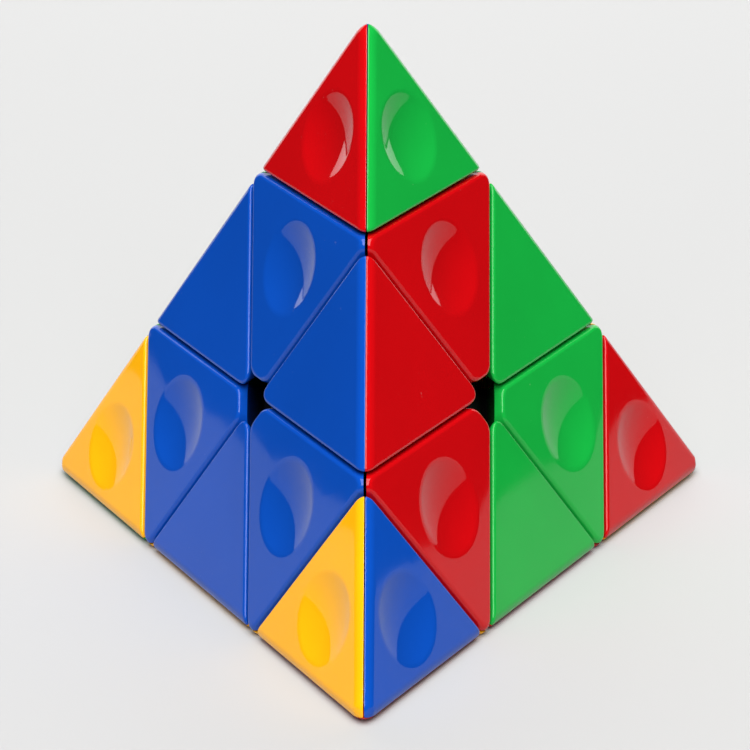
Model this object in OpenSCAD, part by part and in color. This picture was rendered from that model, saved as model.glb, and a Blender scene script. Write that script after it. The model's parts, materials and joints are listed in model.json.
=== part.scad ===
/* [Size] */
// Length of a pyramid edge, measured over its rounded corners
edge_len = 98; // [94:1:104]
// Radius along the six long edges of the pyramid
edge_round = 1.6; // [1.2:0.1:2]
// Gap between neighbouring pieces
gap = 0.5; // [0.4:0.05:0.6]
// How much nearer to its corner each deep cut lies than a third of the edge
deep_shift = 0.4; // [0:0.1:0.6]

/* [Mouldings] */
// Wall of the hollow coloured mouldings
wall = 1.8; // [1.5:0.1:2.2]
// Radius along the cut edges of every coloured facet
facet_round = 0.6; // [0.4:0.1:1.2]
// Radius of the edge pieces' corners at the middle of a face
corner_round = 2; // [1.5:0.1:2.4]
// How far the blunt corners of the centres' facets stay from the middle of a face
blunt = 3.5; // [2.5:0.1:4.5]
// Slit between the mouldings of a centre
centre_seam = 0.4; // [0.2:0.05:0.5]
// Slit between the mouldings of a tip
tip_seam = 0.16; // [0.1:0.02:0.3]
// Slit between the mouldings of an edge piece
edge_seam = 0.06; // [0.04:0.02:0.2]

/* [Dimples] */
// Width of the round dimple in each facet of a tip
tip_dimple = 13; // [12:0.5:15]
// Width of the round dimple in each facet of a centre
centre_dimple = 13.5; // [12:0.5:16]
// Depth of the dimples
dimple_depth = 1; // [0.6:0.1:1.1]

/* [Mechanism] */
// Radius of the core's ball
ball_r = 9; // [8.6:0.1:9.1]
// Outer radius of the shell that the edge pieces' feet slide in
foot_r = 12.8; // [12.4:0.1:12.9]
// Outer radius of the centres' flanges
flange_r = 15.8; // [15.4:0.1:16]
// Running gap between the nested spheres
sphere_gap = 0.3; // [0.25:0.05:0.35]
// Radius of the core's arms
arm_r = 4; // [3.6:0.1:4.2]
// Running clearance of a turning fit, on the radius
fit = 0.06; // [0.04:0.01:0.1]
// Radius of a tip's stem
stem_r = 5; // [4.8:0.1:5.2]
// Radius of the long screws
screw_r = 1.5; // [1.25:0.05:1.5]

/* [Hidden] */
$fn = 96;
spring_turns = 7;
spring_wire_r = 0.35;
spring_sides = 6;
spring_steps = 12;
reach = 70;
touch = 0.05;

// Angles between the corners' axes, the faces and the edges' middles of a regular tetrahedron
corner_angle = acos(-1 / 3);
face_angle = 180 - corner_angle;
half_angle = corner_angle / 2;

// The sharp tetrahedron that the rounded one is cut from
sharp_edge = edge_len + 2 * edge_round * (sqrt(6) - 1);
height = sharp_edge * sqrt(2 / 3);
face_dist = height / 4;
deep_cut = height / 12 + deep_shift;
tip_cut = 5 * height / 12;

// Angles of the cones about each corner's axis that bound the feet, the necks and the flanges
foot_cone = 67;
neck_cone = 59.2;
flange_cut_cone = 60.8;
apex_back = 0.7;

// Levels along a corner's axis, from the middle of the pyramid
arm_bottom = 5;
arm_top = 14.5;
web_bottom = arm_top + 0.4;
web_top = web_bottom + 2.1;
tube_bottom = foot_r + 0.7;
stem_bottom = web_top + 0.3;
stem_web_top = stem_bottom + 2;
spring_top = 32;
washer_top = spring_top + 0.6;
head_top = washer_top + 2;
centre_top = tip_cut - gap / 2;
tip_bottom = tip_cut + gap / 2;
base_top = tip_bottom + 3;
screw_end = 4;

hub_wall_r = 5.7;
tube_r = stem_r + fit + 1.6;
disc_r = 6.9;
wing_slot = 1.6;
pocket_r = 3.6;
head_r = 2.8;

// Plate that carries an edge piece's two mouldings
plate_w = 12;
plate_t = 2.2;
plate_bottom = 15;
plate_top = 24;

// Azimuths of the three faces about a corner's axis
SECTORS = [90, 210, 330];

// Each corner: its name, its turn about the vertical, and the colours of its centre's and its tip's facets
CORNERS = [
    ["top", 0, ["green", "blue", "red"], ["blue", "red", "green"]],
    ["front", 0, ["yellow", "red", "blue"], ["red", "blue", "yellow"]],
    ["left", -120, ["yellow", "blue", "green"], ["green", "yellow", "blue"]],
    ["right", 120, ["red", "yellow", "green"], ["yellow", "green", "red"]],
];

// Each edge piece: its name, its turn about the vertical, the tilt of its middle, and its two colours
EDGES = [
    ["top_front", 0, half_angle, ["red", "blue"]],
    ["top_left", -120, half_angle, ["blue", "green"]],
    ["top_right", 120, half_angle, ["yellow", "green"]],
    ["front_left", -60, 180 - half_angle, ["blue", "yellow"]],
    ["front_right", 60, 180 - half_angle, ["green", "red"]],
    ["back", 180, 180 - half_angle, ["yellow", "red"]],
];

// Colours of the plastics and the steel, by name
function paint(name) =
    name == "red" ? "#c40d12"
    : name == "blue" ? "#0b49ad"
    : name == "green" ? "#17a83f"
    : name == "yellow" ? "#ffb822"
    : name == "steel" ? "#b8bcc0"
    : "#1c1c1e";

// Unit vector at an azimuth and an angle from +Z
function toward(azimuth, tilt) = [sin(tilt) * cos(azimuth), sin(tilt) * sin(azimuth), cos(tilt)];

// A plane is [outward unit normal, distance]. This one rounds the edge or corner where planes meet:
// it touches the rounding of radius r at the direction that weighs the planes' normals by w
function rounding(planes, w, r) =
    let (
        n = [for (axis = [0:2]) sum([for (i = [0:len(planes) - 1]) w[i] * planes[i][0][axis]])],
        at = sum([for (i = [0:len(planes) - 1]) w[i] * (planes[i][1] - r)])
    )
    [n / norm(n), at / norm(n) + r];
function sum(v, i = 0) = i < len(v) ? v[i] + sum(v, i + 1) : 0;

// Everything on the inner side of every plane
module within(planes)
    intersection_for (p = planes)
        rotate([0, acos(p[0][2]), atan2(p[0][1], p[0][0])])
            translate([-reach, -reach, p[1] - 2 * reach])
                cube(2 * reach);

// Solid cone about an axis through the pyramid's middle, at an angle to the axis where it meets a sphere.
// Its apex lies a little behind the middle, so that no two cones share one
module cone_about(azimuth, tilt, angle, sphere_r) {
    slope = atan2(sphere_r * sin(angle), sphere_r * cos(angle) + apex_back);
    rotate([0, tilt, azimuth])
        translate([0, 0, -apex_back])
            cylinder(h = reach * cos(slope), r1 = 0, r2 = reach * sin(slope));
}

// Sphere about the pyramid's middle whose poles lie to the sides of +Z
module shell(r)
    rotate([0, 90, 0]) sphere(r);

// Turn a corner's own frame, with +Z along its axis, to its place about the pyramid's middle
module at_corner(c)
    if (c[0] == "top") children();
    else rotate([0, 0, c[1]]) rotate([corner_angle, 0, 0]) rotate([0, 0, 180]) children();

// Turn an edge piece's own frame, with +Z through its middle and Y along the edge, to its place
module at_edge(e)
    rotate([0, 0, e[1]]) rotate([e[2], 0, 0]) rotate([0, 0, e[2] > 90 ? 90 : 0]) children();

// Planes of the pyramid's faces and of the neighbours' deep cuts, in a corner's frame
function face(k) = [toward(SECTORS[k], face_angle), face_dist];
function side_cut(k) = [-toward(SECTORS[k], face_angle), deep_cut - gap / 2];

// The third of a corner piece that carries facet k, parted from the others by a slit
function sector(k, seam) = [
    [toward(SECTORS[k] + 150, 90), -seam / 2],
    [toward(SECTORS[k] - 150, 90), -seam / 2],
];

// Point of face k at a level along the corner's axis, where the facet is widest
function on_face(k, level) =
    let (out = (face_dist - level * cos(face_angle)) / sin(face_angle))
    [out * cos(SECTORS[k]), out * sin(SECTORS[k]), level];

// Ball that presses a dimple of a width into face k, around a level along the corner's axis
module dimple(k, level, width) {
    r = (width * width / 4 + dimple_depth * dimple_depth) / (2 * dimple_depth);
    translate(on_face(k, level) + toward(SECTORS[k], face_angle) * (r - dimple_depth)) sphere(r);
}

// One coloured moulding of a tip: a hollow third of a small tetrahedron
module tip_moulding(c, k) {
    bottom = [[0, 0, -1], -tip_bottom];
    faces = [for (i = [0:2]) face(i)];
    others = [for (i = [0:2]) if (i != k) face(i)];
    rounds = concat(
        [for (o = others) for (w = [0, 0.5, 1]) rounding([face(k), o], [2 - w, 0.7 * w + 0.3], edge_round)],
        [rounding([face(k), bottom], [1, 1], facet_round)],
        [for (o = others) rounding([face(k), o, bottom], [1, 1, 1], facet_round)],
        [rounding(faces, [1, 1, 1], edge_round)]
    );
    color(paint(c[3][k])) at_corner(c) difference() {
        within(concat(faces, [bottom], rounds, sector(k, tip_seam)));
        within(concat([for (f = faces) [f[0], f[1] - wall]], [[bottom[0], bottom[1] - wall]]));
        translate([0, 0, tip_bottom - 1]) cylinder(h = 5, r = disc_r + touch);
        dimple(k, (3 * face_dist + 2 * tip_cut) / 3, tip_dimple);
    }
}

// Inner base of a tip: the disc that its mouldings close over and the stem that turns in the centre's tube
module tip_base(c)
    color(paint("black")) at_corner(c) difference() {
        union() {
            translate([0, 0, stem_bottom]) cylinder(h = base_top - stem_bottom, r = stem_r);
            translate([0, 0, tip_bottom]) cylinder(h = base_top - tip_bottom, r = disc_r);
        }
        translate([0, 0, stem_web_top]) cylinder(h = reach, r = pocket_r);
        cylinder(h = reach, r = screw_r + 0.2);
    }

// One coloured moulding of a centre: a hollow third of a small octahedron
module centre_moulding(c, k) {
    top = [[0, 0, 1], centre_top];
    bottom = [[0, 0, -1], -(deep_cut + gap / 2)];
    sides = [for (i = [0:2]) side_cut(i)];
    near = [for (i = [0:2]) if (i != k) side_cut(i)];
    end = [toward(SECTORS[k], 90 + face_angle), -blunt];
    rounds = concat(
        [end],
        [for (s = concat([top, end], near)) rounding([face(k), s], [1, 1], facet_round)],
        [for (s = near) rounding([end, s], [1, 1], edge_round)],
        [for (s = near) rounding([face(k), top, s], [1, 1, 1], facet_round)]
    );
    color(paint(c[2][k])) at_corner(c) difference() {
        within(concat([face(k), top, bottom], sides, rounds, sector(k, centre_seam)));
        within([for (p = concat([face(k), top, bottom, end], near)) [p[0], p[1] - wall]]);
        shell(flange_r + sphere_gap);
        cylinder(h = reach, r = tube_r + touch);
        dimple(k, (2 * tip_cut + deep_cut) / 3, centre_dimple);
    }
}

// Inner hub of a centre: the bearing on the core's arm, the flange's three wings over the edge pieces' feet
// and the tube that a tip's stem turns in
module centre_hub(c)
    color(paint("black")) at_corner(c) difference() {
        union() {
            difference() {
                intersection() {
                    shell(flange_r);
                    cone_about(0, 0, neck_cone, flange_r);
                }
                shell(foot_r + sphere_gap);
                for (k = [0:2]) cone_about(SECTORS[k] + 180, corner_angle, flange_cut_cone, flange_r);
                for (k = [0:2]) rotate([0, 0, SECTORS[k] + 180]) translate([0, -wing_slot / 2, 0])
                    cube([reach, wing_slot, reach]);
            }
            difference() {
                cylinder(h = flange_r, r = hub_wall_r);
                shell(ball_r + sphere_gap);
            }
            translate([0, 0, tube_bottom]) cylinder(h = centre_top - tube_bottom, r = tube_r);
        }
        cylinder(h = web_bottom, r = arm_r + fit);
        translate([0, 0, web_top]) cylinder(h = reach, r = stem_r + fit);
        cylinder(h = reach, r = screw_r + 0.2);
    }

// Planes of an edge piece in its own frame: face or cut, on one side or the other
function edge_face(s) = [[s * sin(half_angle), 0, cos(half_angle)], face_dist];
function edge_cut(s) = [[0, -s * sin(half_angle), -cos(half_angle)], -(deep_cut + gap / 2)];

// One coloured moulding of an edge piece: half of a hollow small tetrahedron
module edge_moulding(e, k) {
    side = 1 - 2 * k;
    own = edge_face(side);
    other = edge_face(-side);
    cuts = [edge_cut(1), edge_cut(-1)];
    rounds = concat(
        [for (w = [0, 0.5, 1]) rounding([own, other], [2 - w, 0.7 * w + 0.3], edge_round)],
        [for (q = cuts) rounding([own, q], [1, 1], facet_round)],
        [for (w = [0.4, 1, 2.5]) rounding(cuts, [1, w], corner_round)],
        [rounding(concat([own], cuts), [1, 1, 1], corner_round)],
        [for (q = cuts) rounding([own, other, q], [1, 1, 1], corner_round)]
    );
    color(paint(e[3][k])) at_edge(e) difference() {
        within(concat([own, other], cuts, rounds, [[[-side, 0, 0], -edge_seam / 2]]));
        within([for (p = concat([own], cuts)) [p[0], p[1] - wall]]);
        shell(flange_r + sphere_gap);
        edge_plate(touch);
    }
}

// Plate inside an edge piece, with a margin all round
module edge_plate(margin)
    translate([-plate_w / 2 - margin, -plate_t / 2 - margin, plate_bottom])
        cube([plate_w + 2 * margin, plate_t + 2 * margin, plate_top + margin - plate_bottom]);

// Inner part of an edge piece: the foot held under two flanges, the neck between them and the plate
module edge_foot(e)
    color(paint("black")) at_edge(e) {
        difference() {
            intersection() {
                shell(foot_r);
                cone_about(90, half_angle, foot_cone, foot_r);
                cone_about(-90, half_angle, foot_cone, foot_r);
            }
            shell(ball_r + sphere_gap);
        }
        difference() {
            intersection() {
                shell(flange_r);
                cone_about(90, half_angle, neck_cone, flange_r);
                cone_about(-90, half_angle, neck_cone, flange_r);
            }
            shell(foot_r - 0.5);
        }
        edge_plate(0);
    }

// Core: a ball with four drilled arms
module core()
    color(paint("black")) difference() {
        union() {
            sphere(ball_r);
            for (c = CORNERS) at_corner(c) translate([0, 0, arm_bottom])
                cylinder(h = arm_top - arm_bottom, r = arm_r);
        }
        for (c = CORNERS) at_corner(c) translate([0, 0, screw_end]) cylinder(h = reach, r = screw_r + 0.02);
    }

// Long screws, one along each corner's axis, with crossed driver slots
module axis_screws()
    color(paint("steel")) for (c = CORNERS) at_corner(c) {
        translate([0, 0, screw_end]) cylinder(h = washer_top - screw_end, r = screw_r);
        difference() {
            translate([0, 0, washer_top]) cylinder(h = head_top - washer_top, r = head_r);
            for (turn = [0, 90]) rotate([0, 0, turn])
                translate([-1.7, -0.35, head_top - 1.2]) cube([3.4, 0.7, 2]);
        }
    }

// Washers between the springs and the screws' heads
module axis_washers()
    color(paint("steel")) for (c = CORNERS) at_corner(c) translate([0, 0, spring_top])
        difference() {
            cylinder(h = washer_top - spring_top, r = pocket_r - 0.2);
            translate([0, 0, -1]) cylinder(h = 3, r = screw_r + 0.1);
        }

// Springs that press the tips and centres toward the core
module axis_springs() {
    coil_r = pocket_r - 0.4 - spring_wire_r;
    rings = spring_turns * spring_steps;
    low = stem_web_top + spring_wire_r + touch;
    high = spring_top - spring_wire_r - touch;
    points = [for (i = [0:rings]) for (j = [0:spring_sides - 1])
        let (
            turn = 360 * i / spring_steps,
            a = 360 * j / spring_sides,
            out = coil_r + spring_wire_r * cos(a)
        )
        [out * cos(turn), out * sin(turn), low + (high - low) * i / rings + spring_wire_r * sin(a)]];
    skin = [for (i = [0:rings - 1]) for (j = [0:spring_sides - 1])
        let (here = i * spring_sides, next = (j + 1) % spring_sides)
        [here + j, here + spring_sides + j, here + spring_sides + next, here + next]];
    ends = [
        [for (j = [0:spring_sides - 1]) j],
        [for (j = [spring_sides - 1:-1:0]) rings * spring_sides + j],
    ];
    color(paint("steel")) for (c = CORNERS) at_corner(c)
        polyhedron(points = points, faces = concat(skin, ends), convexity = 10);
}

core();
axis_screws();
axis_washers();
axis_springs();
for (c = CORNERS) {
    for (k = [0:2]) {
        tip_moulding(c, k);
        centre_moulding(c, k);
    }
    tip_base(c);
    centre_hub(c);
}
for (e = EDGES) {
    for (k = [0:1])
        edge_moulding(e, k);
    edge_foot(e);
}
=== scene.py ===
import json
import math

import bmesh
import bpy
from bpy.props import FloatProperty, FloatVectorProperty, IntProperty, PointerProperty
from mathutils import Matrix, Vector


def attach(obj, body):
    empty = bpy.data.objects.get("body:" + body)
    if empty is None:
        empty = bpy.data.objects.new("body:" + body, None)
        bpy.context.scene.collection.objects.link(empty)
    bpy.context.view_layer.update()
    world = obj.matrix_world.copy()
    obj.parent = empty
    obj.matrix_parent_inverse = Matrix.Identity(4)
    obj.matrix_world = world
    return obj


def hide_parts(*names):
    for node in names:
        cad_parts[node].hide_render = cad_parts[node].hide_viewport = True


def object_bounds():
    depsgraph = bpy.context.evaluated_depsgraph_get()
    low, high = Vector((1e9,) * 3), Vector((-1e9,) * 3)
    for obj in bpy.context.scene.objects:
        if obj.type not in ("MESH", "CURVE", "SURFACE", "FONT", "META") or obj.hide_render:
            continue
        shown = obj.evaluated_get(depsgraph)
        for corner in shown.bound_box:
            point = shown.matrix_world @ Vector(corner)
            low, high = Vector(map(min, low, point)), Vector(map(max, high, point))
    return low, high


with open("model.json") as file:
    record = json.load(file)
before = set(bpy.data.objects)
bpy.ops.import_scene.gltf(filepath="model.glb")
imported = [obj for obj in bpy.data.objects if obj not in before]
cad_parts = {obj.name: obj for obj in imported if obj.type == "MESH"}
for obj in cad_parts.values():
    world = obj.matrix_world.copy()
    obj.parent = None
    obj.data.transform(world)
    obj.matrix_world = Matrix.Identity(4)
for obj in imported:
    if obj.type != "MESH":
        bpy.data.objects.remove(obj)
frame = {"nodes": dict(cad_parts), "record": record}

bl_info = {
    "name": "Pyramid Twisty Puzzle",
    "version": (1, 0, 0),
    "blender": (4, 5, 0),
    "location": "View3D > Sidebar > Pyramid Puzzle",
    "description": "Moulded facets, plastics and stage for a pyramid twisty puzzle",
    "category": "Object",
}

# Bounds of the CAD model, kept before anything is added
CAD_BOUNDS = [list(corner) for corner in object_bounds()]

# Angles between a corner's axis and a face, and between an edge's middle and a face or corner
FACE_ANGLE = math.acos(1 / 3)
CORNER_ANGLE = math.pi - FACE_ANGLE
HALF_ANGLE = CORNER_ANGLE / 2

# Turn of each corner about the vertical, and the colours of its centre's and its tip's facets
CORNERS = {
    "top": (0, ("green", "blue", "red"), ("blue", "red", "green")),
    "front": (0, ("yellow", "red", "blue"), ("red", "blue", "yellow")),
    "left": (-120, ("yellow", "blue", "green"), ("green", "yellow", "blue")),
    "right": (120, ("red", "yellow", "green"), ("yellow", "green", "red")),
}

# Turn of each edge piece about the vertical, the tilt of its middle, and its two colours
EDGES = {
    "top_front": (0, HALF_ANGLE, ("red", "blue")),
    "top_left": (-120, HALF_ANGLE, ("blue", "green")),
    "top_right": (120, HALF_ANGLE, ("yellow", "green")),
    "front_left": (-60, math.pi - HALF_ANGLE, ("blue", "yellow")),
    "front_right": (60, math.pi - HALF_ANGLE, ("green", "red")),
    "back": (180, math.pi - HALF_ANGLE, ("yellow", "red")),
}

BEHAVIOUR = frame["record"]["behaviour"]["bodies"]
BODY_OF = {node: body for body, nodes in BEHAVIOUR.items() for node in nodes}
FACE_DISTANCE = -CAD_BOUNDS[0][2] * 1000

# How far the floor lies below the base, in metres, so that the two never share a plane
FLOOR_DROP = 0.0001


class PuzzleSizes(bpy.types.PropertyGroup):
    """Sizes of the coloured mouldings, in millimetres"""

    face_distance: FloatProperty(
        name="Face distance", default=FACE_DISTANCE,
        description="From the pyramid's middle to each face")
    gap: FloatProperty(
        name="Gap", default=0.5,
        description="Between neighbouring pieces")
    deep_shift: FloatProperty(
        name="Deep cut shift", default=0.4,
        description="How much nearer to its corner a deep cut lies than two thirds of the height down")
    wall: FloatProperty(
        name="Wall", default=1.8,
        description="Wall of the hollow mouldings")
    edge_offset: FloatProperty(
        name="Pyramid edge bevel", default=2.45,
        description="Width of the rounding on each side of a pyramid edge")
    facet_offset: FloatProperty(
        name="Facet bevel", default=0.75,
        description="Width of the rounding along a tip's or edge piece's cut edges")
    centre_offset: FloatProperty(
        name="Centre bevel", default=0.45,
        description="Width of the rounding along a centre's cut edges")
    end_offset: FloatProperty(
        name="Blunt end bevel", default=1.1,
        description="Width of the rounding beside a centre's blunt corner")
    corner_radius: FloatProperty(
        name="Corner radius", default=2.0,
        description="Of the edge pieces' corners at the middle of a face")
    vertex_radius: FloatProperty(
        name="Vertex radius", default=1.5,
        description="Of a centre's corners on the pyramid's edges")
    blunt: FloatProperty(
        name="Blunt corner", default=3.2,
        description="From a face's middle to the blunt corners of the centres")
    undercut: FloatProperty(
        name="Undercut", subtype="ANGLE", default=math.radians(50),
        description="Slope of the blunt corners below their rim")
    undercut_depth: FloatProperty(
        name="Undercut depth", default=1.5,
        description="Depth of the blunt corners' upright rim")
    tip_seam: FloatProperty(
        name="Tip seam", default=0.16,
        description="Slit between a tip's mouldings")
    centre_seam: FloatProperty(
        name="Centre seam", default=0.4,
        description="Slit between a centre's mouldings")
    edge_seam: FloatProperty(
        name="Edge seam", default=0.06,
        description="Slit between an edge piece's mouldings")
    tip_dimple: FloatProperty(
        name="Tip dimple", default=13.0,
        description="Width of the dimple in a tip's facet")
    centre_dimple: FloatProperty(
        name="Centre dimple", default=13.5,
        description="Width of the dimple in a centre's facet")
    dimple_depth: FloatProperty(
        name="Dimple depth", default=1.0,
        description="Depth of the dimples")
    dimple_rim: FloatProperty(
        name="Dimple rim", default=0.5,
        description="Half width of the dimples' soft rim")
    inner_radius: FloatProperty(
        name="Inner radius", default=16.1,
        description="Of the ball of free space round the mechanism")
    disc_radius: FloatProperty(
        name="Disc radius", default=6.95,
        description="Of the hole for a tip's inner disc")
    tube_radius: FloatProperty(
        name="Tube radius", default=6.71,
        description="Of the hole for a centre's inner tube")
    round_steps: IntProperty(
        name="Round steps", default=5, min=2,
        description="Segments across each narrow rounding. The wide ones have three more")


class PuzzleColours(bpy.types.PropertyGroup):
    """Colours of the plastics and the steel"""

    red: FloatVectorProperty(
        name="Red", description="Red plastic",
        subtype="COLOR", size=3, min=0, max=1, default=(0.53, 0.002, 0.004))
    blue: FloatVectorProperty(
        name="Blue", description="Blue plastic",
        subtype="COLOR", size=3, min=0, max=1, default=(0.003, 0.066, 0.42))
    green: FloatVectorProperty(
        name="Green", description="Green plastic",
        subtype="COLOR", size=3, min=0, max=1, default=(0.007, 0.38, 0.047))
    yellow: FloatVectorProperty(
        name="Yellow", description="Yellow plastic",
        subtype="COLOR", size=3, min=0, max=1, default=(0.97, 0.44, 0.004))
    black: FloatVectorProperty(
        name="Black", description="Black inner plastic",
        subtype="COLOR", size=3, min=0, max=1, default=(0.010, 0.010, 0.011))
    steel: FloatVectorProperty(
        name="Steel", description="Screws, washers and springs",
        subtype="COLOR", size=3, min=0, max=1, default=(0.56, 0.57, 0.59))


class PuzzleStage(bpy.types.PropertyGroup):
    """Camera, floor and lights"""

    azimuth: FloatProperty(
        name="Azimuth", subtype="ANGLE", default=math.radians(1.644),
        description="Camera's turn about the vertical")
    elevation: FloatProperty(
        name="Elevation", subtype="ANGLE", default=math.radians(22.392),
        description="Camera's height angle")
    roll: FloatProperty(
        name="Roll", subtype="ANGLE", default=math.radians(-0.67),
        description="Camera's roll")
    distance: FloatProperty(
        name="Distance", unit="LENGTH", default=0.57705,
        description="From camera to target")
    lens: FloatProperty(
        name="Lens", default=187.77,
        description="Focal length in millimetres on a 36 mm sensor")
    aim_right: FloatProperty(
        name="Aim right", unit="LENGTH", default=0.00045,
        description="Target's place to the right of the base's middle")
    aim_up: FloatProperty(
        name="Aim up", unit="LENGTH", default=0.02551,
        description="Target's place above the base's middle, across the view")
    floor_colour: FloatVectorProperty(
        name="Floor", description="Pale floor",
        subtype="COLOR", size=3, min=0, max=1, default=(0.465, 0.465, 0.462))
    floor_size: FloatProperty(
        name="Floor size", unit="LENGTH", default=0.84,
        description="Side of the floor")
    overhead_power: FloatProperty(
        name="Overhead light", subtype="POWER", default=27,
        description="Softbox above")
    front_power: FloatProperty(
        name="Front light", subtype="POWER", default=34,
        description="Softbox in front")
    back_power: FloatProperty(
        name="Back light", subtype="POWER", default=2.3,
        description="Low softbox behind")
    surroundings: FloatProperty(
        name="Surroundings", default=0.02,
        description="Brightness of the dark studio that the plastics reflect")
    backdrop: FloatProperty(
        name="Backdrop", default=0.8,
        description="Brightness that the camera sees beyond the floor")


# ---------------------------------------------------------------- shapes

def toward(azimuth, tilt):
    """Unit vector at an azimuth and an angle from +Z"""
    return Vector((math.sin(tilt) * math.cos(azimuth), math.sin(tilt) * math.sin(azimuth), math.cos(tilt)))


SECTORS = [math.radians(a) for a in (90, 210, 330)]
UP = Vector((0, 0, 1))

# What each face of a shape that is being made belongs to
MARKS = ("stock", "facet", "face", "cut", "end", "ridge", "corner", "rim", "seam", "undercut", "back")

# Half side of the cube that shapes are cut from, in millimetres like every length of a shape
STOCK = 90.0

# How deep a centre's facet is drawn in, well into the ball of free space
DRAW_DEPTH = 16.0

# A drawn shape's face whose normal points up or down by more than this is its facet or its back
LEVEL_NORMAL = 0.9

# Steps across a dimple's bowl, across its rim and around it, and around a drawn facet's corner
BOWL_STEPS, RIM_STEPS, DIMPLE_STEPS, CORNER_STEPS = 9, 7, 72, 10

# Steps around and up the ball of free space, and around the holes
BALL_STEPS, HOLE_STEPS = (96, 64), 72

# How far the hole for a tip's disc reaches below and above the tip's bottom, and the top of a tube's hole
DISC_BELOW, DISC_ABOVE, TUBE_TOP = 1, 4, 60

# Slot for an edge piece's inner plate, and the level of its middle
PLATE_SLOT, PLATE_LEVEL = (12.1, 2.3, 9.1), 19.5

# Edges with a larger angle stay sharp, and how strongly large faces pull the normals of small ones
SHARP_ANGLE, NORMALS_WEIGHT = math.radians(38), 80


def mark_layer(bm):
    """Layer that keeps each face's mark as its place in MARKS"""
    return bm.faces.layers.int.get("mark") or bm.faces.layers.int.new("mark")


def block(planes):
    """Convex solid inside (mark, normal, distance) planes, cut from a cube"""
    bm = bmesh.new()
    mark_layer(bm)
    bmesh.ops.create_cube(bm, size=2 * STOCK)
    for plane in planes:
        cut_away(bm, *plane)
    return bm


def cut_away(bm, mark, normal, distance):
    """Cut off all beyond a plane and close the hole with a marked face"""
    layer = mark_layer(bm)
    geometry = bm.verts[:] + bm.edges[:] + bm.faces[:]
    bmesh.ops.bisect_plane(
        bm, geom=geometry, dist=1e-4, plane_co=normal * distance, plane_no=normal, clear_outer=True)
    rim = [edge for edge in bm.edges if edge.is_boundary]
    for face in bmesh.ops.holes_fill(bm, edges=rim, sides=0)["faces"]:
        face[layer] = MARKS.index(mark)
        face.normal_update()


def edges_between(bm, first, second):
    """Edges with a face of the first marks on one side and a face of the second marks on the other"""
    layer = mark_layer(bm)
    found = []
    for edge in bm.edges:
        if len(edge.link_faces) == 2:
            a, b = (MARKS[face[layer]] for face in edge.link_faces)
            if (a in first and b in second) or (b in first and a in second):
                found.append(edge)
    return found


def round_off(bm, mark, edges, offset, steps):
    """Bevel edges and mark the new faces"""
    layer = mark_layer(bm)
    made = bmesh.ops.bevel(
        bm, geom=edges, offset=offset, offset_type="OFFSET", segments=steps, profile=0.5, affect="EDGES",
        material=-1, loop_slide=True, clamp_overlap=False)
    for face in made["faces"]:
        face[layer] = MARKS.index(mark)


def press_dimple(bm, place, width):
    """Replace the facet's flat with one that has a round dimple, with its middle and normal given by place"""
    sizes = bpy.context.scene.puzzle_sizes
    layer = mark_layer(bm)
    facet = MARKS.index("facet")
    flat = max((face for face in bm.faces if face[layer] == facet), key=lambda face: face.calc_area())
    bmesh.ops.delete(bm, geom=[flat], context="FACES_ONLY")
    half, rim = width / 2, sizes.dimple_rim
    curve = sizes.dimple_depth / (half * half - rim * rim)
    radii = [half * (i / BOWL_STEPS) * (1 - rim / half) for i in range(BOWL_STEPS + 1)]
    radii += [half - rim + 2 * rim * i / RIM_STEPS for i in range(1, RIM_STEPS + 1)]
    profile = []
    for radius in radii:
        if radius <= half - rim:
            level = -curve * (half * half - rim * rim - radius * radius)
        else:
            level = -curve * (half - rim) * (half + rim - radius) ** 2 / (2 * rim)
        profile.append(bm.verts.new(place @ Vector((radius, 0, level))))
    line = [bm.edges.new(pair) for pair in zip(profile, profile[1:])]
    axis = (place.to_3x3() @ UP).normalized()
    known = set(bm.faces)
    bmesh.ops.spin(
        bm, geom=profile + line, cent=place.translation, axis=axis, angle=2 * math.pi, steps=DIMPLE_STEPS,
        use_merge=True)
    bmesh.ops.remove_doubles(bm, verts=bm.verts[:], dist=1e-4)
    bowl = [face for face in bm.faces if face not in known]
    open_edges = [edge for edge in bm.edges if edge.is_boundary]
    made = bmesh.ops.triangle_fill(
        bm, use_beauty=True, use_dissolve=False, edges=open_edges, normal=axis)["geom"]
    for face in bowl + [part for part in made if isinstance(part, bmesh.types.BMFace)]:
        face[layer] = facet
    bmesh.ops.recalc_face_normals(bm, faces=bm.faces[:])


def as_mesh(bm, name):
    """Mesh of a finished bmesh, which is freed"""
    mesh = bpy.data.meshes.new(name)
    bm.to_mesh(mesh)
    bm.free()
    return mesh


def carve(bm, cutters, name):
    """Subtract closed shapes from a closed shape and return the result as a mesh"""
    collection = bpy.context.scene.collection
    bmesh.ops.recalc_face_normals(bm, faces=bm.faces[:])
    body = bpy.data.objects.new(name, as_mesh(bm, name))
    collection.objects.link(body)
    helpers = []
    for cutter in cutters:
        bmesh.ops.recalc_face_normals(cutter, faces=cutter.faces[:])
        helper = bpy.data.objects.new(name + "_cutter", as_mesh(cutter, name + "_cutter"))
        collection.objects.link(helper)
        helpers.append(helper)
        cut = body.modifiers.new("Hollow", "BOOLEAN")
        cut.operation = "DIFFERENCE"
        cut.solver = "EXACT"
        cut.object = helper
    bpy.context.view_layer.update()
    result = bpy.data.meshes.new_from_object(body.evaluated_get(bpy.context.evaluated_depsgraph_get()))
    for helper in helpers + [body]:
        mesh = helper.data
        bpy.data.objects.remove(helper)
        bpy.data.meshes.remove(mesh)
    result.name = name
    return result


def inset(planes, wall):
    """The same planes, moved into the solid by a wall"""
    return [(mark, normal, distance - wall) for mark, normal, distance in planes]


def ball(radius):
    """Ball about the pyramid's middle"""
    bm = bmesh.new()
    bmesh.ops.create_uvsphere(bm, u_segments=BALL_STEPS[0], v_segments=BALL_STEPS[1], radius=radius)
    return bm


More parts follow.
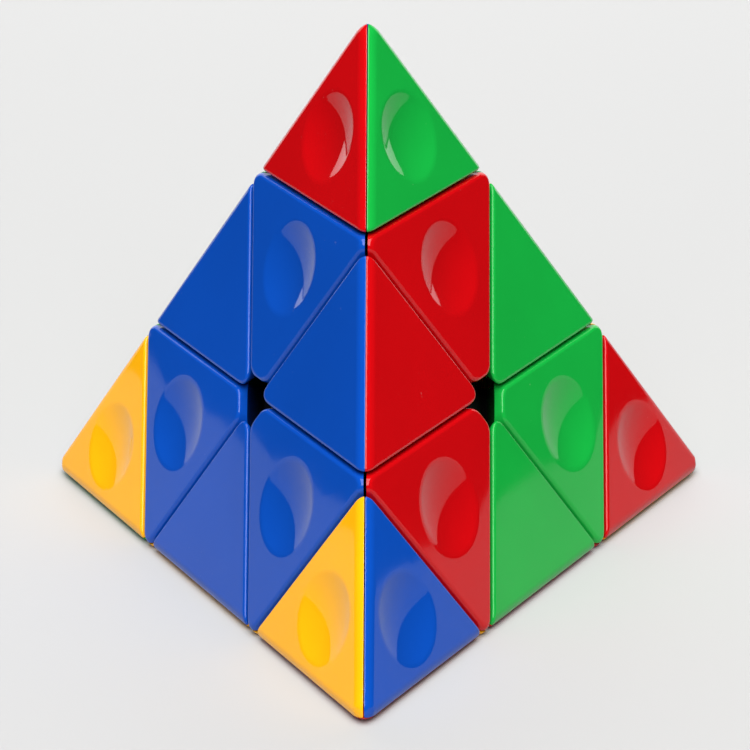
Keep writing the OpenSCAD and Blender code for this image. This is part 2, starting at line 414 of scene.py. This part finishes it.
def rod(radius, low, high):
    """Upright rod about the axis"""
    bm = bmesh.new()
    bmesh.ops.create_cone(
        bm, cap_ends=True, segments=HOLE_STEPS, radius1=radius, radius2=radius, depth=high - low,
        matrix=Matrix.Translation((0, 0, (low + high) / 2)))
    return bm


def facet_place(rise):
    """Matrix to a corner's first facet: Z outward, Y up, its origin a rise above the face's middle"""
    outward = toward(SECTORS[0], FACE_ANGLE)
    up = (UP - outward * outward.z).normalized()
    place = Matrix((up.cross(outward), up, outward)).transposed().to_4x4()
    place.translation = outward * bpy.context.scene.puzzle_sizes.face_distance + up * rise
    return place


def rise_of(level):
    """How far above a face's middle the face meets a level of the corner's axis"""
    return (level - bpy.context.scene.puzzle_sizes.face_distance / 3) / math.sin(FACE_ANGLE)


def corner_turn(corner, k):
    """Matrix that carries sector k of a corner's piece to its place"""
    spin = Matrix.Rotation(math.radians(120 * k), 4, "Z")
    if corner == "top":
        return spin
    return (Matrix.Rotation(math.radians(CORNERS[corner][0]), 4, "Z")
            @ Matrix.Rotation(CORNER_ANGLE, 4, "X") @ Matrix.Rotation(math.pi, 4, "Z") @ spin)


def edge_turn(edge, k):
    """Matrix that carries half k of an edge piece to its place"""
    turn, tilt, _ = EDGES[edge]
    flip = Matrix.Rotation(math.pi / 2 if tilt > math.pi / 2 else 0, 4, "Z")
    return (Matrix.Rotation(math.radians(turn), 4, "Z") @ Matrix.Rotation(tilt, 4, "X") @ flip
            @ Matrix.Rotation(math.pi * k, 4, "Z"))


def sector_cuts(seam):
    """Planes that part the first third of a corner's piece from the other two"""
    return [("seam", toward(SECTORS[0] + math.radians(side), math.pi / 2), -seam / 2) for side in (150, -150)]


def cut_levels():
    """Distances of the deep cuts and of the tip cuts from the middle"""
    sizes = bpy.context.scene.puzzle_sizes
    height = 4 * sizes.face_distance
    return height / 12 + sizes.deep_shift, 5 * height / 12


def tip_shape():
    """Third of a tip, in a corner's frame"""
    sizes = bpy.context.scene.puzzle_sizes
    _, tip_cut = cut_levels()
    bottom = tip_cut + sizes.gap / 2
    planes = [(mark, toward(azimuth, FACE_ANGLE), sizes.face_distance)
              for mark, azimuth in zip(("facet", "face", "face"), SECTORS)]
    planes.append(("cut", -UP, -bottom))
    faces = {"facet", "face"}
    bm = block(planes)
    round_off(bm, "ridge", edges_between(bm, faces, faces), sizes.edge_offset, sizes.round_steps + 3)
    round_off(bm, "rim", edges_between(bm, faces | {"ridge"}, {"cut"}), sizes.facet_offset, sizes.round_steps)
    for plane in sector_cuts(sizes.tip_seam):
        cut_away(bm, *plane)
    press_dimple(bm, facet_place(rise_of((3 * sizes.face_distance + 2 * tip_cut) / 3)), sizes.tip_dimple)
    disc_hole = rod(sizes.disc_radius, bottom - DISC_BELOW, bottom + DISC_ABOVE)
    return carve(bm, [block(inset(planes, sizes.wall)), disc_hole], "tip_third")


def drawn_facet(inradius):
    """Triangular facet with rounded corners, drawn in along the cuts, with +Z outward"""
    sizes = bpy.context.scene.puzzle_sizes
    bm = bmesh.new()
    layer = mark_layer(bm)
    points = [bm.verts.new(Vector((2 * inradius * math.cos(a), 2 * inradius * math.sin(a), 0)))
              for a in (math.radians(270), math.radians(30), math.radians(150))]
    bm.faces.new(points)
    for point, radius in zip(points, (sizes.corner_radius, sizes.vertex_radius, sizes.vertex_radius)):
        bmesh.ops.bevel(
            bm, geom=[point], offset=radius * math.sqrt(3), offset_type="OFFSET", segments=CORNER_STEPS,
            profile=0.5, affect="VERTICES", material=-1, clamp_overlap=False)
    spread = 1 + DRAW_DEPTH / math.tan(FACE_ANGLE) / inradius
    drawn = bmesh.ops.extrude_face_region(bm, geom=bm.faces[:])["geom"]
    deeper = [part for part in drawn if isinstance(part, bmesh.types.BMVert)]
    bmesh.ops.scale(bm, vec=(spread, spread, 1), verts=deeper)
    bmesh.ops.translate(bm, vec=(0, 0, -DRAW_DEPTH), verts=deeper)
    bmesh.ops.recalc_face_normals(bm, faces=bm.faces[:])
    for face in bm.faces:
        face.normal_update()
        mark = "cut"
        if abs(face.normal.z) > LEVEL_NORMAL:
            mark = "facet" if face.normal.z > 0 else "back"
        face[layer] = MARKS.index(mark)
    return bm


def centre_shape():
    """Third of a centre, in a corner's frame: a drawn facet, blunt at the middle of the pyramid's face"""
    sizes = bpy.context.scene.puzzle_sizes
    deep_cut, tip_cut = cut_levels()
    top, bottom, side = tip_cut - sizes.gap / 2, deep_cut + sizes.gap / 2, deep_cut - sizes.gap / 2
    inradius = (rise_of(top) + 2 * rise_of(side)) / 3
    rise = rise_of(top) - inradius
    down = Vector((0, -1, 0))
    under = Vector((0, -math.cos(sizes.undercut), -math.sin(sizes.undercut)))
    under_at = Vector((0, sizes.blunt - rise, -sizes.undercut_depth))
    bm = drawn_facet(inradius)
    cut_away(bm, "end", down, rise - sizes.blunt)
    round_off(bm, "corner", edges_between(bm, {"end"}, {"cut"}), sizes.end_offset, sizes.round_steps)
    outline = edges_between(bm, {"facet"}, {"cut", "end", "corner"})
    round_off(bm, "rim", outline, sizes.centre_offset, sizes.round_steps)
    cut_away(bm, "undercut", under, under.dot(under_at))
    place = facet_place(rise)
    bmesh.ops.transform(bm, matrix=place, verts=bm.verts[:])
    for plane in [("back", -UP, -bottom)] + sector_cuts(sizes.centre_seam):
        cut_away(bm, *plane)
    press_dimple(bm, facet_place(rise_of((2 * tip_cut + deep_cut) / 3)), sizes.centre_dimple)
    turn = place.to_3x3()
    planes = [("facet", toward(SECTORS[0], FACE_ANGLE), sizes.face_distance)]
    planes += [("cut", UP, top), ("back", -UP, -bottom)]
    planes += [("cut", -toward(azimuth, FACE_ANGLE), side) for azimuth in SECTORS[1:]]
    planes += [("end", turn @ down, -sizes.blunt)]
    planes += [("undercut", turn @ under, (turn @ under).dot(place @ under_at))]
    tube_hole = rod(sizes.tube_radius, 0, TUBE_TOP)
    return carve(bm, [block(inset(planes, sizes.wall)), ball(sizes.inner_radius), tube_hole], "centre_third")


def edge_shape():
    """Half of an edge piece, in its own frame"""
    sizes = bpy.context.scene.puzzle_sizes
    deep_cut, _ = cut_levels()
    s, c = math.sin(HALF_ANGLE), math.cos(HALF_ANGLE)
    own, other = [(mark, Vector((side * s, 0, c)), sizes.face_distance)
                  for mark, side in (("facet", 1), ("face", -1))]
    cuts = [("cut", Vector((0, -side * s, -c)), -(deep_cut + sizes.gap / 2)) for side in (1, -1)]
    bm = block([own, other] + cuts)
    corner = edges_between(bm, {"cut"}, {"cut"})
    round_off(bm, "corner", corner, sizes.corner_radius * math.sqrt(2), sizes.round_steps + 3)
    ridge = edges_between(bm, {"facet"}, {"face"})
    round_off(bm, "ridge", ridge, sizes.edge_offset, sizes.round_steps + 3)
    outline = edges_between(bm, {"facet", "face", "ridge"}, {"cut", "corner"})
    round_off(bm, "rim", outline, sizes.facet_offset, sizes.round_steps)
    cut_away(bm, "seam", Vector((-1, 0, 0)), -sizes.edge_seam / 2)
    plate = bmesh.new()
    bmesh.ops.create_cube(
        plate, size=1, matrix=Matrix.Translation((0, 0, PLATE_LEVEL)) @ Matrix.Diagonal((*PLATE_SLOT, 1)))
    return carve(bm, [block(inset([own] + cuts, sizes.wall)), ball(sizes.inner_radius), plate], "edge_half")


def finish_moulding(shape, turn, node, colour):
    """Copy a shape to its place in metres, with its plastic, riding on its node's body"""
    mesh = shape.copy()
    mesh.name = node + "_moulding"
    mesh.transform(Matrix.Scale(0.001, 4) @ turn)
    mesh.materials.clear()
    mesh.materials.append(bpy.data.materials["surfaced_" + colour + "_plastic"])
    mesh.shade_smooth()
    mesh.set_sharp_from_angle(angle=SHARP_ANGLE)
    moulding = bpy.data.objects.new(node + "_moulding", mesh)
    bpy.context.scene.collection.objects.link(moulding)
    normals = moulding.modifiers.new("Weighted normals", "WEIGHTED_NORMAL")
    normals.keep_sharp = True
    normals.weight = NORMALS_WEIGHT
    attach(moulding, BODY_OF[node])
    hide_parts(node)


# ---------------------------------------------------------------- materials

def group_sockets(group, inputs, outputs):
    """Give a node group its named inputs, with their usual values, and its outputs"""
    for name, kind, value in inputs:
        socket = group.interface.new_socket(name, in_out="INPUT", socket_type="NodeSocket" + kind)
        socket.default_value = value
    for name, kind in outputs:
        group.interface.new_socket(name, in_out="OUTPUT", socket_type="NodeSocket" + kind)


def moulded_surface():
    """Node group: colour with faint flow marks, varied gloss, dust, and the long waves of a moulded face"""
    group = bpy.data.node_groups.get("moulded_surface")
    if group:
        return group
    group = bpy.data.node_groups.new("moulded_surface", "ShaderNodeTree")
    group_sockets(
        group,
        [("Colour", "Color", (0.5, 0.5, 0.5, 1)), ("Gloss", "Float", 0.12),
         ("Gloss variation", "Float", 0.05), ("Dust", "Float", 0.5), ("Wave height", "Float", 0.1),
         ("Grain height", "Float", 0.02)],
        [("Colour", "Color"), ("Roughness", "Float"), ("Normal", "Vector")])
    nodes, links = group.nodes, group.links
    given = nodes.new("NodeGroupInput")
    out = nodes.new("NodeGroupOutput")
    place = nodes.new("ShaderNodeTexCoord")

    def noise(scale, detail, seed):
        mapping = nodes.new("ShaderNodeMapping")
        mapping.inputs["Location"].default_value = (seed, 2 * seed, -seed)
        links.new(place.outputs["Object"], mapping.inputs["Vector"])
        texture = nodes.new("ShaderNodeTexNoise")
        texture.inputs["Scale"].default_value = scale
        texture.inputs["Detail"].default_value = detail
        links.new(mapping.outputs["Vector"], texture.inputs["Vector"])
        return texture.outputs["Fac"]

    def span(value, low, high, to_low, to_high):
        limits = nodes.new("ShaderNodeMapRange")
        for name, number in (("From Min", low), ("From Max", high), ("To Min", to_low), ("To Max", to_high)):
            limits.inputs[name].default_value = number
        links.new(value, limits.inputs["Value"])
        return limits.outputs["Result"]

    def maths(operation, first, second):
        node = nodes.new("ShaderNodeMath")
        node.operation = operation
        for socket, value in zip(node.inputs, (first, second)):
            if isinstance(value, (int, float)):
                socket.default_value = value
            else:
                links.new(value, socket)
        return node.outputs["Value"]

    flow = noise(scale=38, detail=3, seed=0.31)
    shade = nodes.new("ShaderNodeHueSaturation")
    links.new(given.outputs["Colour"], shade.inputs["Color"])
    links.new(span(flow, 0.3, 0.7, 0.94, 1.05), shade.inputs["Value"])
    specks = span(noise(scale=1500, detail=2, seed=0.77), 0.735, 0.78, 0, 1)
    patches = span(noise(scale=55, detail=2, seed=0.12), 0.52, 0.68, 0, 1)
    dust = maths("MULTIPLY", maths("MULTIPLY", specks, patches), given.outputs["Dust"])
    dusty = nodes.new("ShaderNodeMix")
    dusty.data_type = "RGBA"
    dusty.inputs["B"].default_value = (0.72, 0.72, 0.70, 1)
    links.new(dust, dusty.inputs["Factor"])
    links.new(shade.outputs["Color"], dusty.inputs["A"])
    links.new(dusty.outputs["Result"], out.inputs["Colour"])
    rub = span(noise(scale=120, detail=5, seed=0.5), 0.35, 0.75, -1, 1)
    gloss = maths("ADD", given.outputs["Gloss"], maths("MULTIPLY", rub, given.outputs["Gloss variation"]))
    links.new(maths("ADD", gloss, maths("MULTIPLY", dust, 0.4)), out.inputs["Roughness"])
    waves = maths("MULTIPLY", noise(scale=75, detail=1, seed=0.9), given.outputs["Wave height"])
    grain = maths("MULTIPLY", noise(scale=900, detail=3, seed=0.2), given.outputs["Grain height"])
    bump = nodes.new("ShaderNodeBump")
    bump.inputs["Strength"].default_value = 1
    bump.inputs["Distance"].default_value = 0.001
    links.new(maths("ADD", waves, grain), bump.inputs["Height"])
    links.new(bump.outputs["Normal"], out.inputs["Normal"])
    return group


def surfaced_material(name, colour, values, principled):
    """Material whose colour, roughness and normal come from the moulded surface group"""
    material = bpy.data.materials.new("surfaced_" + name)
    material.use_nodes = True
    nodes, links = material.node_tree.nodes, material.node_tree.links
    shader = nodes["Principled BSDF"]
    surface = nodes.new("ShaderNodeGroup")
    surface.node_tree = moulded_surface()
    surface.inputs["Colour"].default_value = (*colour, 1)
    for key, value in values.items():
        surface.inputs[key].default_value = value
    for key, value in principled.items():
        shader.inputs[key].default_value = value
    links.new(surface.outputs["Colour"], shader.inputs["Base Color"])
    links.new(surface.outputs["Roughness"], shader.inputs["Roughness"])
    links.new(surface.outputs["Normal"], shader.inputs["Normal"])
    material.diffuse_color = (*colour, 1)
    return material


# ---------------------------------------------------------------- operators

class PUZZLE_OT_plastics(bpy.types.Operator):
    """Make the plastics and the steel"""
    bl_idname = "puzzle.plastics"
    bl_label = "Plastics and steel"

    def execute(self, context):
        colours = context.scene.puzzle_colours
        for name in ("red", "blue", "green", "yellow"):
            surfaced_material(
                name + "_plastic", getattr(colours, name),
                {"Gloss": 0.05, "Gloss variation": 0.015, "Dust": 0.15, "Wave height": 0.012,
                 "Grain height": 0.0008},
                {"IOR": 1.43, "Specular IOR Level": 0.42})
        surfaced_material(
            "black_plastic", colours.black,
            {"Gloss": 0.42, "Gloss variation": 0.08, "Dust": 0.3, "Wave height": 0.05, "Grain height": 0.03},
            {"IOR": 1.48})
        surfaced_material(
            "steel", colours.steel,
            {"Gloss": 0.3, "Gloss variation": 0.1, "Dust": 0.1, "Wave height": 0.02, "Grain height": 0.02},
            {"Metallic": 1.0})
        return {"FINISHED"}


class PUZZLE_OT_tips(bpy.types.Operator):
    """Make the coloured mouldings of the four tips"""
    bl_idname = "puzzle.tips"
    bl_label = "Tips"

    def execute(self, context):
        shape = tip_shape()
        for corner, (_, _, colours) in CORNERS.items():
            for k, colour in enumerate(colours):
                finish_moulding(shape, corner_turn(corner, k), f"tip_{corner}_{colour}", colour)
        bpy.data.meshes.remove(shape)
        return {"FINISHED"}


class PUZZLE_OT_centres(bpy.types.Operator):
    """Make the coloured mouldings of the four centres"""
    bl_idname = "puzzle.centres"
    bl_label = "Centres"

    def execute(self, context):
        shape = centre_shape()
        for corner, (_, colours, _) in CORNERS.items():
            for k, colour in enumerate(colours):
                finish_moulding(shape, corner_turn(corner, k), f"centre_{corner}_{colour}", colour)
        bpy.data.meshes.remove(shape)
        return {"FINISHED"}


class PUZZLE_OT_edges(bpy.types.Operator):
    """Make the coloured mouldings of the six edge pieces"""
    bl_idname = "puzzle.edges"
    bl_label = "Edge pieces"

    def execute(self, context):
        shape = edge_shape()
        for edge, (_, _, colours) in EDGES.items():
            for k, colour in enumerate(colours):
                finish_moulding(shape, edge_turn(edge, k), f"edge_{edge}_{colour}", colour)
        bpy.data.meshes.remove(shape)
        return {"FINISHED"}


class PUZZLE_OT_mechanism(bpy.types.Operator):
    """Give the core, hubs, feet, tip bases and fasteners their plastic and steel"""
    bl_idname = "puzzle.mechanism"
    bl_label = "Mechanism"

    def execute(self, context):
        for entry in frame["record"]["subparts"]:
            if entry["material_slot"] in ("black_plastic", "steel"):
                part = frame["nodes"][entry["node"]]
                part.data.materials.clear()
                part.data.materials.append(bpy.data.materials["surfaced_" + entry["material_slot"]])
        return {"FINISHED"}


def area_light(name, place, target, width, height, power):
    """Softbox at a place that faces a target"""
    data = bpy.data.lights.new(name, "AREA")
    data.shape = "RECTANGLE"
    data.size, data.size_y = width, height
    data.energy = power
    light = bpy.data.objects.new(name, data)
    bpy.context.scene.collection.objects.link(light)
    light.location = place
    light.rotation_euler = (Vector(target) - Vector(place)).to_track_quat("-Z", "Y").to_euler()
    return light


class PUZZLE_OT_stage(bpy.types.Operator):
    """Make the floor, the lights and the camera"""
    bl_idname = "puzzle.stage"
    bl_label = "Stage"

    def execute(self, context):
        scene = context.scene
        stage = scene.puzzle_stage
        base = CAD_BOUNDS[0][2]
        az, el, roll = stage.azimuth, stage.elevation, stage.roll
        back = Vector((math.sin(az) * math.cos(el), -math.cos(az) * math.cos(el), math.sin(el)))
        right = Vector((0, 0, 1)).cross(back).normalized()
        up = back.cross(right)
        target = Vector((0, 0, base)) + right * stage.aim_right + up * stage.aim_up
        across = right * math.cos(roll) + up * math.sin(roll)
        upward = -right * math.sin(roll) + up * math.cos(roll)
        lens = bpy.data.cameras.new("camera")
        lens.sensor_width = 36
        lens.lens = stage.lens
        lens.clip_start, lens.clip_end = 0.01, 20
        camera = bpy.data.objects.new("camera", lens)
        scene.collection.objects.link(camera)
        turn = Matrix((across, upward, back)).transposed().to_4x4()
        camera.matrix_world = Matrix.Translation(target + back * stage.distance) @ turn
        scene.camera = camera

        bm = bmesh.new()
        bmesh.ops.create_grid(bm, x_segments=1, y_segments=1, size=stage.floor_size / 2)
        floor = bpy.data.objects.new("floor", as_mesh(bm, "floor"))
        floor.location.z = base - FLOOR_DROP
        scene.collection.objects.link(floor)
        paper = bpy.data.materials.new("floor_paper")
        paper.use_nodes = True
        shader = paper.node_tree.nodes["Principled BSDF"]
        shader.inputs["Base Color"].default_value = (*stage.floor_colour, 1)
        shader.inputs["Roughness"].default_value = 0.6
        shader.inputs["Specular IOR Level"].default_value = 0.25
        floor.data.materials.append(paper)

        world = bpy.data.worlds.new("studio")
        world.use_nodes = True
        nodes, links = world.node_tree.nodes, world.node_tree.links
        rays = nodes.new("ShaderNodeLightPath")
        seen = nodes.new("ShaderNodeMapRange")
        seen.inputs["To Min"].default_value = stage.surroundings
        seen.inputs["To Max"].default_value = stage.backdrop
        links.new(rays.outputs["Is Camera Ray"], seen.inputs["Value"])
        links.new(seen.outputs["Result"], nodes["Background"].inputs["Strength"])
        nodes["Background"].inputs["Color"].default_value = (1, 1, 1, 1)
        scene.world = world

        middle = (0, 0, 0)
        area_light("overhead_softbox", (0.02, -0.22, 1.4), middle, 1.3, 1.3, stage.overhead_power)
        area_light("front_softbox", (0, -1.45, 1.35), middle, 1.5, 1.1, stage.front_power)
        level = base + 0.22
        back_light = area_light("back_softbox", (0, 0.5, level), (0, 0, level), 1.06, 0.44, stage.back_power)
        back_light.visible_camera = False
        scene.view_settings.view_transform = "Standard"
        return {"FINISHED"}


class PUZZLE_PT_panel(bpy.types.Panel):
    """Buttons for each step, and the puzzle's sizes, colours and stage settings"""
    bl_idname = "PUZZLE_PT_panel"
    bl_label = "Pyramid Puzzle"
    bl_space_type = "VIEW_3D"
    bl_region_type = "UI"
    bl_category = "Pyramid Puzzle"

    def draw(self, context):
        for step in STEPS:
            self.layout.operator(step.bl_idname, text=step.bl_label)
        for group in (context.scene.puzzle_sizes, context.scene.puzzle_colours, context.scene.puzzle_stage):
            box = self.layout.box()
            for name in group.__annotations__:
                box.prop(group, name)


STEPS = (
    PUZZLE_OT_stage, PUZZLE_OT_plastics, PUZZLE_OT_tips, PUZZLE_OT_centres, PUZZLE_OT_edges,
    PUZZLE_OT_mechanism)
CLASSES = (PuzzleSizes, PuzzleColours, PuzzleStage) + STEPS + (PUZZLE_PT_panel,)


def register():
    for cls in CLASSES:
        bpy.utils.register_class(cls)
    bpy.types.Scene.puzzle_sizes = PointerProperty(type=PuzzleSizes)
    bpy.types.Scene.puzzle_colours = PointerProperty(type=PuzzleColours)
    bpy.types.Scene.puzzle_stage = PointerProperty(type=PuzzleStage)


def unregister():
    del bpy.types.Scene.puzzle_stage
    del bpy.types.Scene.puzzle_colours
    del bpy.types.Scene.puzzle_sizes
    for cls in reversed(CLASSES):
        bpy.utils.unregister_class(cls)


def main():
    register()
    bpy.ops.puzzle.stage()
    bpy.ops.puzzle.plastics()
    bpy.ops.puzzle.tips()
    bpy.ops.puzzle.centres()
    bpy.ops.puzzle.edges()
    bpy.ops.puzzle.mechanism()
    bpy.context.view_layer.update()


if __name__ == "__main__":
    main()
